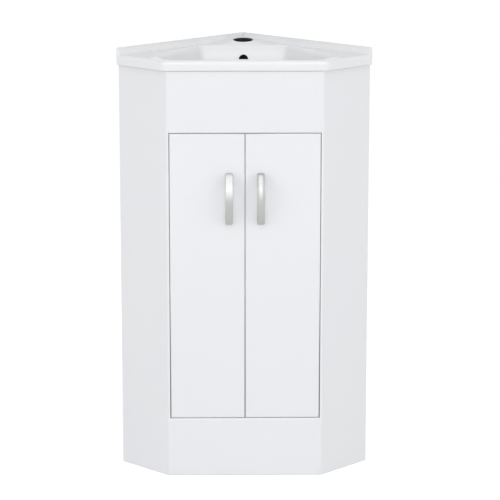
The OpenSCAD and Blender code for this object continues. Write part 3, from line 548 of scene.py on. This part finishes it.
# %% [markdown]
# The ledge keeps water off the walls. It is a bar with a rounded top whose inner side sweeps
# down to the deck in a hollow curve, cut here with an oval rod. Its end is rounded as well,
# and then its top is pressed level. One bar is mitred at the room corner and mirrored to give
# the other. The bars stand in from the slab's walls by a fiftieth of a millimetre, because a
# boolean of two solids whose faces coincide isn't reliable.

# %% The ledge
bar_low, ledge_round = deck_z - 9 * mm, 1.4 * mm
bar_inset, bar_spare = 0.02 * mm, 5 * mm
along = Vector((1, -1, 0)) / diagonal
inward = Vector((-1, -1, 0)) / diagonal
middle = Vector((0, corner_y, 0)) + along * side_length / 2
rod_z = ledge_z - 1.5 * mm
bpy.ops.object.select_all(action="DESELECT")
bpy.ops.mesh.primitive_cylinder_add(
    vertices=160, radius=1, depth=0.5, rotation=(math.radians(90), 0, math.radians(45)),
    location=middle + inward * ledge_width + Vector((0, 0, rod_z)),
    scale=(ledge_width - ledge_top, rod_z - deck_z + 0.1 * mm, 1))
rod = bpy.context.object
bpy.ops.object.transform_apply(location=True, rotation=True, scale=True)
bpy.ops.object.select_all(action="DESELECT")
bpy.ops.mesh.primitive_cube_add(
    size=1, rotation=(0, 0, math.radians(-45)),
    location=middle + inward * (ledge_width + bar_inset) / 2
    - along * (bar_spare + bar_inset) / 2 + Vector((0, 0, (bar_low + ledge_z) / 2)),
    scale=(side_length + bar_spare - bar_inset, ledge_width - bar_inset, ledge_z - bar_low))
ledge = bpy.context.object
bpy.ops.object.transform_apply(location=True, rotation=True, scale=True)
carve(ledge, rod)
bpy.ops.object.mode_set(mode="EDIT")
round_edges(tip_round, 8,
            lambda edge: upright(edge) and across(edge)[0].x > wing_x - 1 * mm)


def on_end(v):
    """Tells whether a vertex is on the hollow curve at the bar's end."""
    out = v.co - middle
    return (out.dot(along) > side_length / 2 - bar_inset - hair
            and out.dot(inward) > ledge_top - 0.1 * mm and v.co.z > deck_z - 0.2 * mm)


round_edges(ledge_round, 5,
            lambda edge: above(edge, ledge_z) or all(map(on_end, edge.verts)))
choose("VERT", lambda v: v.co.z > ledge_z)
bpy.ops.transform.resize(value=(1, 1, 0), center_override=(0, 0, ledge_z))
bpy.ops.mesh.select_all(action="SELECT")
bpy.ops.mesh.bisect(plane_co=(0, 0, 0), plane_no=(1, 0, 0), clear_inner=True)
bpy.ops.object.mode_set(mode="OBJECT")
mirror = ledge.modifiers.new("mirror", "MIRROR")
mirror.use_clip = True
bpy.ops.object.modifier_apply(modifier=mirror.name)
bpy.ops.object.mode_set(mode="EDIT")
round_edges(corner_round, 8, lambda edge: all(
    abs(v.co.x) < hair and v.co.y > corner_y - 1.5 * ledge_round for v in edge.verts))
ledge = leave("ledge")
print("ledge:", len(ledge.data.polygons), "faces, size", list(ledge.dimensions))
carve(basin, ledge, "UNION")
print("slab and ledge:", len(basin.data.polygons), "faces")

# %% [markdown]
# The bowl is made as a solid first, as a mould maker would turn its plug. Its outline at the
# deck is a plane cut to six corners, which are rounded, and its long sides get points enough
# to bend. The corners are given as a half width and a depth from the room corner, in mm.

# %% The plug of the bowl: its outline
back_edge, front_edge = 101, 340.24
outline = [(91.5, back_edge), (183.14, 266.58), (150.49, front_edge)]
corner_radii = [16, 16, 40]
top_z = deck_z + 0.05 * mm
blank_size, blank_depth = 400 * mm, 220 * mm
bpy.ops.object.select_all(action="DESELECT")
bpy.ops.mesh.primitive_plane_add(size=blank_size, location=(0, corner_y - blank_depth, top_z))
edit_new()
for sign in (1, -1):
    places = [Vector((sign * x * mm, corner_y - d * mm, deck_z))
              for x, d in [(0, back_edge)] + outline + [(0, front_edge)]]
    for a, b in zip(places, places[1:]):
        bpy.ops.mesh.select_all(action="SELECT")
        bpy.ops.mesh.bisect(plane_co=a, plane_no=(b - a).cross(Vector((0, 0, -sign))),
                            clear_outer=True)
ways = [Vector((1, 0))] + [Vector((b[0] - a[0], a[1] - b[1]))
                           for a, b in zip(outline, outline[1:])] + [Vector((-1, 0))]
for (x, d), radius, way, next_way in zip(outline, corner_radii, ways, ways[1:]):
    corner = Vector((x * mm, corner_y - d * mm))
    choose("VERT", lambda v: (Vector((abs(v.co.x), v.co.y)) - corner).length < 1 * mm)
    bpy.ops.mesh.bevel(affect="VERTICES", segments=10,
                       offset=radius * mm * math.tan(way.angle(next_way) / 2))
for least, cuts in ((200, 19), (150, 12), (35, 4)):
    choose("EDGE", lambda edge: edge.calc_length() > least * mm)
    bpy.ops.mesh.subdivide(number_cuts=cuts)
choose("FACE", lambda face: True)
rim_count = len(bmesh.from_edit_mesh(bpy.context.object.data).verts)
print("bowl outline:", rim_count, "points")

# %% [markdown]
# Insets that also sink make the lip. In front the lip runs on into a slope, and at the back
# it is sharper, because the photograph shows a crisp edge below the tap. Then each ring is
# drawn down from the last, made a little smaller about the waste, and a little rounder, until
# it meets the floor. Below that the plug goes on as a dish and the outlet.

# %% The plug of the bowl: lip, wall, floor and outlet
lip_width, lip_height, floor_z = 8 * mm, 14 * mm, 730 * mm
wall_z = top_z - lip_height
steps = 8
slope, slope_depth = 20 * mm, 262 * mm
back_radius, back_slant, pivot = 4 * mm, 0.3, 130 * mm


def draw_ring(middle, z_from, z_to, smaller, rounder=0):
    """Draws the chosen face down to a new ring, smaller and rounder about a place."""
    here = (0, middle, z_to)
    bpy.ops.mesh.extrude_region_move(TRANSFORM_OT_translate={"value": (0, 0, z_to - z_from)})
    if rounder:
        bpy.ops.transform.tosphere(value=rounder, center_override=here)
    bpy.ops.transform.resize(value=(smaller, smaller, 1), center_override=here)


def back_lip(drop):
    """How far the sharper lip at the back has come in, at a drop below the deck."""
    if drop < back_radius:
        return math.sqrt(back_radius ** 2 - (back_radius - drop) ** 2)
    return back_radius + (drop - back_radius) * back_slant


front, back = front_edge * mm, back_edge * mm
for k in range(steps):
    low, high = (math.radians(90 * j / steps) for j in (k, k + 1))
    step_in = lip_width * (math.sin(high) - math.sin(low))
    step_back = slope * (math.sin(high) - math.sin(low))
    bpy.ops.mesh.inset(thickness=step_in, depth=-lip_height * (math.cos(low) - math.cos(high)))
    ring_z = top_z - lip_height * (1 - math.cos(high))

    def on_ring(v):
        return abs(v.co.z - ring_z) < hair

    choose("VERT", lambda v: on_ring(v) and v.co.y < corner_y - slope_depth)
    front -= step_in
    bpy.ops.transform.resize(value=(1, 1 - step_back / (front - slope_depth), 1),
                             center_override=(0, corner_y - slope_depth, ring_z))
    front -= step_back
    back += step_in
    shift = back - back_edge * mm - back_lip(top_z - ring_z)
    choose("VERT", lambda v: on_ring(v) and v.co.y > corner_y - pivot)
    bpy.ops.transform.resize(value=(1, 1 + shift / (pivot - back), 1),
                             center_override=(0, corner_y - pivot, ring_z))
    back -= shift
    choose("FACE", lambda face: all(map(on_ring, face.verts)))
print("the lip's foot runs from %.1f to %.1f mm from the corner" % (back / mm, front / mm))

draw, roundness, lean, fullness, ring_count = 0.38, 0.35, 0.4, 0.8, 24
z, t = wall_z, 0.0
for k in range(1, ring_count + 1):
    angle = math.radians(90 * k / ring_count)
    drop = math.sin(angle) ** fullness
    new_z = wall_z - (wall_z - floor_z) * drop
    new_t = lean * drop + (1 - lean) * (1 - max(math.cos(angle), 0) ** fullness)
    draw_ring(waste_y, z, new_z, (1 - draw * new_t) / (1 - draw * t),
              1 - (1 - roundness * new_t) / (1 - roundness * t))
    z, t = new_z, new_t
rim = [v for v in bmesh.from_edit_mesh(bpy.context.object.data).verts if v.select]
reach = sum((v.co.xy - Vector((0, waste_y))).length for v in rim) / len(rim)
dish_radius, dish_depth = 32 * mm, 4 * mm
radii = [(reach + (dish_radius - reach) * k / 5, floor_z - dish_depth * k / 5)
         for k in range(1, 6)]
radii += [(31 * mm, 725.2 * mm), (29.5 * mm, 724.8 * mm), (24.5 * mm, 724.6 * mm),
          (23.1 * mm, 724 * mm), (22.5 * mm, 722.6 * mm), (22.5 * mm, 690 * mm)]
for radius, new_z in radii:
    draw_ring(waste_y, z, new_z, radius / reach, 1.0 if radius <= dish_radius else 0.35)
    z, reach = new_z, radius
choose("EDGE", lambda edge: edge.is_boundary)
bpy.ops.mesh.extrude_edges_move(TRANSFORM_OT_translate={"value": (0, 0, 4 * mm)})
bpy.ops.mesh.edge_face_add()
plug = leave("bowl_plug")
print("bowl plug:", len(plug.data.polygons), "faces")

# %% [markdown]
# The bowl's outside is the same shape, a china wall further out, and it starts inside the
# slab. So the plug is copied, cut off under the lip and above the outlet, and swelled. The
# outlet gets a round boss. The overflow's casing goes down behind the bowl and on as a duct
# under its floor. All of them join the slab. The casing's blocks are given by two corners, in
# mm: half width, depth from the room corner, and height.

# %% The outside of the bowl
china_wall, shell_foot_z = 8 * mm, 727 * mm
boss_radius, boss_foot_z, boss_height = 32 * mm, 703 * mm, 25 * mm
bpy.ops.object.select_all(action="DESELECT")
plug.select_set(True)
bpy.context.view_layer.objects.active = plug
bpy.ops.object.duplicate()
shell = bpy.context.object
bpy.ops.object.mode_set(mode="EDIT")
for height, way in ((wall_z - 0.5 * mm, 1), (shell_foot_z, -1)):
    bpy.ops.mesh.select_all(action="SELECT")
    bpy.ops.mesh.bisect(plane_co=(0, 0, height), plane_no=(0, 0, way), use_fill=True,
                        clear_outer=True)
bpy.ops.mesh.select_all(action="SELECT")
bpy.ops.transform.shrink_fatten(value=china_wall)
choose("FACE", lambda face: face.normal.z > 0.9)
bpy.ops.transform.resize(value=(1, 1, 0), center_override=(0, 0, wall_z))
bpy.ops.mesh.extrude_region_move(TRANSFORM_OT_translate={"value": (0, 0, 4 * mm)})
shell = leave("bowl_shell")
print("bowl shell:", len(shell.data.polygons), "faces, size", list(shell.dimensions))


def block(low, high, radius=0):
    """A block between two corners, given in mm from the room corner, with round edges."""
    low, high = (Vector((x * mm, corner_y - d * mm, z * mm)) for x, d, z in (low, high))
    bpy.ops.object.select_all(action="DESELECT")
    size = high - low
    bpy.ops.mesh.primitive_cube_add(size=1, location=(low + high) / 2,
                                    scale=[abs(length) for length in size])
    edit_new()
    if radius:
        bpy.ops.mesh.bevel(offset=radius * mm, segments=4)
    return leave("block")


bpy.ops.object.select_all(action="DESELECT")
bpy.ops.mesh.primitive_cylinder_add(vertices=96, radius=boss_radius, depth=boss_height,
                                    location=(0, waste_y, boss_foot_z + boss_height / 2))
edit_new()
round_edges(2 * mm, 4, lambda edge: max(v.co.z for v in edge.verts) < boss_foot_z + 1 * mm)
boss = leave("boss")
carve(basin, shell, "UNION")
carve(basin, boss, "UNION")
casing, duct_casing = ((-20, 87, 703), (20, 121, 826)), ((-14, 87.5, 703.5), (14, 228, 724.5))
carve(basin, block(*casing, 4), "UNION")
carve(basin, block(*duct_casing, 3), "UNION")
print("basin with its shell:", len(basin.data.polygons), "faces")

# %% [markdown]
# Now the hollows. The tap hole is cut by a plug with a flared top, so that the glaze runs
# over into the hole as a quarter round. The overflow is a half moon, whose straight side is
# below.

# %% The hollows
carve(basin, plug)
bpy.ops.object.select_all(action="DESELECT")
tap_y, tap_radius, tap_lip, lip_steps = corner_y - 54 * mm, 17.5 * mm, 3 * mm, 8
tap_z = deck_z + (tap_y - platform_y) * platform_slope
bpy.ops.mesh.primitive_cylinder_add(vertices=96, radius=tap_radius + tap_lip, depth=2 * mm,
                                    location=(0, tap_y, tap_z + 1 * mm))
edit_new()
choose("FACE", lambda face: face.normal.z < -0.9)
z, reach = tap_z, tap_radius + tap_lip
for k in range(1, lip_steps + 1):
    angle = math.radians(90 * k / lip_steps)
    new_z = tap_z - tap_lip * (1 - math.cos(angle))
    new_reach = tap_radius + tap_lip * (1 - math.sin(angle))
    draw_ring(tap_y, z, new_z, new_reach / reach)
    z, reach = new_z, new_reach
draw_ring(tap_y, z, foot_z, 1)
choose("VERT", lambda v: v.co.z > tap_z - tap_lip - hair)
bpy.ops.transform.rotate(value=-math.atan(platform_slope), orient_axis="X",
                         center_override=(0, tap_y, tap_z))
carve(basin, leave("tap_plug"))
moon_radius, moon_length, moon_depth, moon_z = 9.5 * mm, 38 * mm, 115 * mm, 807.5 * mm
bpy.ops.object.select_all(action="DESELECT")
bpy.ops.mesh.primitive_cylinder_add(
    vertices=96, radius=moon_radius, depth=moon_length, rotation=(math.radians(90), 0, 0),
    location=(0, corner_y - moon_depth, moon_z))
edit_new()
bpy.ops.mesh.bisect(plane_co=(0, 0, moon_z), plane_no=(0, 0, -1), use_fill=True,
                    clear_outer=True)
carve(basin, leave("half_moon"))
chamber, duct = ((-14, 91, 709), (14, 100, 824)), ((-8, 93.5, 709.5), (8, 228, 718.5))
carve(basin, block(*chamber, 3))
carve(basin, block(*duct))
print("basin:", len(basin.data.polygons), "faces, size", list(basin.dimensions))

# %% [markdown]
# The glaze covers what a hand can reach. The foot, the underside and the sides against the
# walls stay bare clay. The tap hole and the overflow look black in the photograph, so their
# insides, and the chamber and duct behind the overflow, get painted shade: a flat dark colour.
# Each finish is given to the faces that lie where it belongs. Then the shading is made smooth
# over all gentle turns, with the flat faces ruling at the edges.

# %% The basin's finishes
def finish_faces(shape, index, test):
    """Gives a material slot to the faces that pass a test on their middle and direction."""
    bpy.ops.object.select_all(action="DESELECT")
    bpy.context.view_layer.objects.active = shape
    bpy.ops.object.mode_set(mode="EDIT")
    count = choose("FACE", lambda face: test(face.calc_center_median(), face.normal))
    shape.active_material_index = index
    bpy.ops.object.material_slot_assign()
    bpy.ops.object.mode_set(mode="OBJECT")
    return count


def smooth(shape, degrees=35):
    """Smooth shading over turns of less than an angle, with weighted normals."""
    bpy.ops.object.select_all(action="DESELECT")
    bpy.context.view_layer.objects.active = shape
    shape.select_set(True)
    bpy.ops.object.shade_smooth_by_angle(angle=math.radians(degrees))
    weighted = shape.modifiers.new("weighted", "WEIGHTED_NORMAL")
    weighted.keep_sharp = True
    bpy.ops.object.modifier_apply(modifier=weighted.name)


def from_axis(middle, y):
    """How far a place is from the upright line at a place along Y."""
    return math.hypot(middle.x, middle.y - y)


def unglazed(middle, normal):
    """Tells whether a face is on the underside, on the foot or against a wall."""
    return (middle.z < foot_z - 0.5 * mm and normal.z < 0.02
            and from_axis(middle, waste_y) > 23 * mm
            or middle.z < foot_z + 10 * mm and normal.z < -0.5
            or abs(middle.x) + middle.y > corner_y - 0.3 * mm)


def within(middle, low, high):
    """Tells whether a place lies in a block given by two corners in mm, or on its skin."""
    place = middle.x / mm, (corner_y - middle.y) / mm, middle.z / mm
    return all(a - 0.1 < c < b + 0.1 for a, c, b in zip(low, place, high))


def in_shade(middle, normal):
    """Tells whether a face is in the tap hole, the half moon, the chamber or the duct."""
    platform_z = deck_z + (middle.y - platform_y) * platform_slope
    return (from_axis(middle, tap_y) < tap_radius + tap_lip + 0.1 * mm
            and middle.z < platform_z - 2 * hair
            or within(middle, *chamber) or within(middle, duct[0], duct_mouth)
            or math.hypot(middle.x, middle.z - moon_z) < moon_radius + 5 * hair
            and middle.z > moon_z - 0.1 * mm and abs(normal.y) < 0.3
            and corner_y - middle.y < moon_depth + 10 * mm)


duct_mouth = (duct[1][0], 206, duct[1][2])
for material in (glaze, clay, painted_hole_shade):
    basin.data.materials.append(material)
bare = finish_faces(basin, 1, unglazed)
# Painted shade goes on the faces inside the tap hole, the half moon, the chamber and the duct.
dark = finish_faces(basin, 2, in_shade)
print("bare faces:", bare, "dark faces:", dark)
smooth(basin)
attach(basin, "cabinet")
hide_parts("basin")

# %% [markdown]
# Each handle is a flat bow, cut from a block by two round tools. The block is cut to a large
# arc outside, and a smaller arc takes away the room for the fingers, so the bow is thickest
# at its feet. Then its edges are eased. It is a trace shorter and narrower than the frame's,
# as the photograph shows it. One is made and mirrored for the other door.

# %% The handles
def rod(radius, y, depth=0.1):
    """A round tool that lies across the left handle, with its axis at a place along Y."""
    bpy.ops.object.select_all(action="DESELECT")
    bpy.ops.mesh.primitive_cylinder_add(
        vertices=360, radius=radius, depth=depth, rotation=(0, math.radians(90), 0),
        location=(handle_x, y, handle_z))
    bpy.ops.object.transform_apply(location=True, rotation=True, scale=True)
    return bpy.context.object


low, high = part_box("left_handle")
handle_x, handle_z = (low[0] + high[0]) / 2, (low[2] + high[2]) / 2
width, out, length = high[0] - low[0] - 0.8 * mm, high[1] - low[1], high[2] - low[2] - 3 * mm
shoulder, thickness, foot_length = 8 * mm, 4.5 * mm, 9 * mm
bow = ((length / 2) ** 2 + (out - shoulder) ** 2) / (2 * (out - shoulder))
grip_half, grip_rise = length / 2 - foot_length, out - thickness
grip = (grip_half ** 2 + grip_rise ** 2) / (2 * grip_rise)
bpy.ops.object.select_all(action="DESELECT")
bpy.ops.mesh.primitive_cube_add(
    size=1, location=(handle_x, low[1] + out / 2, handle_z), scale=(width, out, length))
edit_new()
bpy.ops.mesh.select_all(action="DESELECT")
round_edges(3 * mm, 8, lambda edge: abs(edge.verts[0].co.y - edge.verts[1].co.y) > 5 * mm)
handle = leave("left_bow_handle")
carve(handle, rod(bow, low[1] + bow), "INTERSECT")
carve(handle, rod(grip, low[1] + thickness + grip))
bpy.ops.object.mode_set(mode="EDIT")
choose("EDGE", lambda edge: edge.calc_face_angle() > math.radians(40)
       and max(v.co.y for v in edge.verts) < high[1] - 0.1 * mm)
bpy.ops.mesh.bevel(offset=0.7 * mm, segments=4)
leave()
handle.data.materials.append(nickel)
smooth(handle, 40)
print("handle:", len(handle.data.polygons), "faces, size", list(handle.dimensions))
bpy.ops.object.duplicate()
other = bpy.context.object
other.name = other.data.name = "right_bow_handle"
bpy.ops.transform.mirror(constraint_axis=(True, False, False), center_override=(0, 0, 0))
bpy.ops.object.transform_apply(location=True, rotation=True, scale=True)
bpy.ops.object.mode_set(mode="EDIT")
leave()
for shape, side in ((handle, "left"), (other, "right")):
    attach(shape, side + "_door_leaf")
    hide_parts(side + "_handle")
print("handles:", [list(shape.dimensions) for shape in (handle, other)])

# %% [markdown]
# The doors in the photograph have finer gaps than a frame of working parts can promise: the
# fitter adjusts them by eye. Each door is copied from the frame, so that it keeps its hinge
# cups and screw holes, and its four edges are drawn out by one or two millimetres. At the
# hinges one is the most, or the door would rub on the return as it swings. The frame's mesh
# is loose triangles, so they are merged first. The band that moves holds the rounded edge.

# %% The doors
def copied(name, new_name):
    """A copy of a frame part with its triangles merged, left in edit mode."""
    bpy.ops.object.select_all(action="DESELECT")
    shape = bpy.data.objects.new(new_name, nodes[name].data.copy())
    shape.data.name = new_name
    shape.data.materials.clear()
    scene.collection.objects.link(shape)
    bpy.context.view_layer.objects.active = shape
    shape.select_set(True)
    bpy.ops.object.mode_set(mode="EDIT")
    bpy.ops.mesh.select_all(action="SELECT")
    bpy.ops.mesh.remove_doubles(threshold=0.001 * mm)


middle_ease, hinge_ease, level_ease, edge_band = 1 * mm, 1 * mm, 2.1 * mm, 3 * mm
for side, sign in (("left", -1), ("right", 1)):
    low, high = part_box(side + "_door")
    free_x, hinge_x = sorted((low[0], high[0]), key=abs)
    copied(side + "_door", side + "_gloss_door")
    for test, move in (
            (lambda v: abs(v.co.x - free_x) < edge_band, (-sign * middle_ease, 0, 0)),
            (lambda v: abs(v.co.x - hinge_x) < edge_band, (sign * hinge_ease, 0, 0)),
            (lambda v: v.co.z > high[2] - edge_band, (0, 0, level_ease)),
            (lambda v: v.co.z < low[2] + edge_band, (0, 0, -level_ease))):
        print(side, "door edge:", choose("VERT", test), "points")
        bpy.ops.transform.translate(value=move)
    door = leave()
    for material in (gloss_foil, melamine, chipboard):
        door.data.materials.append(material)
    print("melamine faces:", finish_faces(door, 1, lambda middle, normal: (
        normal.y > 0.9 and middle.y > high[1] - 0.1 * mm)))
    print("bare faces:", finish_faces(door, 2, lambda middle, normal: (
        low[1] + 2 * mm < middle.y < high[1] - 0.05 * mm
        and abs(middle.x - free_x) > edge_band and abs(middle.x - hinge_x) > edge_band
        and low[2] + edge_band < middle.z < high[2] - edge_band)))
    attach(door, side + "_door_leaf")
    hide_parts(side + "_door")

# %% [markdown]
# The floor is a wide sheet of white studio paper. The camera sees it lifted to white by a
# little glow that lights nothing else, and the object's shadow stays on it.

# %% The floor
floor_glow = 0.45
bpy.ops.object.select_all(action="DESELECT")
bpy.ops.mesh.primitive_plane_add(size=60, location=(0, 0, 0))
floor = bpy.context.object
floor.name = "paper_floor"
paper, tree, shader, place = start_material("studio_paper", Roughness=0.9,
                                            Base_Color=linear("#eaeae8"),
                                            Emission_Color=(1, 1, 1, 1))
glow = add(tree, "ShaderNodeMath", {0: seen_rays(tree), 1: floor_glow}, operation="MULTIPLY")
tree.links.new(glow.outputs[0], shader.inputs["Emission Strength"])
floor.data.materials.append(paper)
